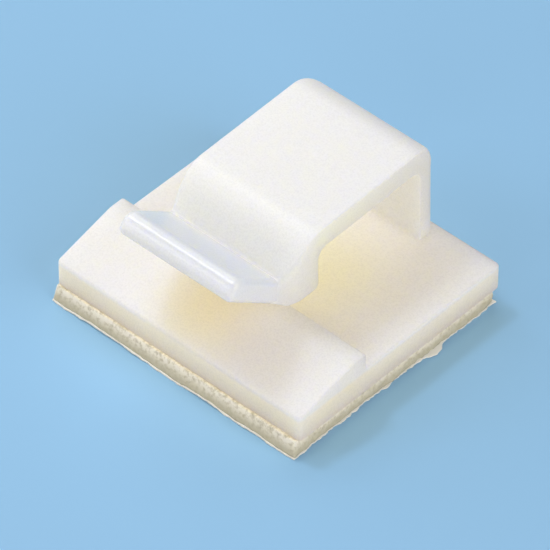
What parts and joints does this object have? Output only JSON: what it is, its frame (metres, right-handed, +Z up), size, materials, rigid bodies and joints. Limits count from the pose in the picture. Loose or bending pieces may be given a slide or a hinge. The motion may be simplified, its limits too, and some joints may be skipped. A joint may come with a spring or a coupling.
{
  "type": "self-adhesive cord holder",
  "caption": "Milky plastic cord holder: base with a low ramp and a springy strap with a flared lip, on foam tape.",
  "frame": {"origin": "middle of the release liner's lower face, under the middle of the bounding box", "axes": "+Z up from the surface it is stuck to, +X across the strap's width, -Y towards the flared lip"},
  "size_m": [0.028, 0.026, 0.0147],
  "materials": {
    "milky_nylon": "milky translucent natural nylon, satin",
    "foam_tape": "yellow-grey closed-cell foam, cut edge",
    "release_paper": "coated paper, torn at its edge"
  },
  "bodies": {
    "root": {"clip_body": "milky_nylon", "foam_pad": "foam_tape", "release_liner": "release_paper"}
  },
  "joints": []
}
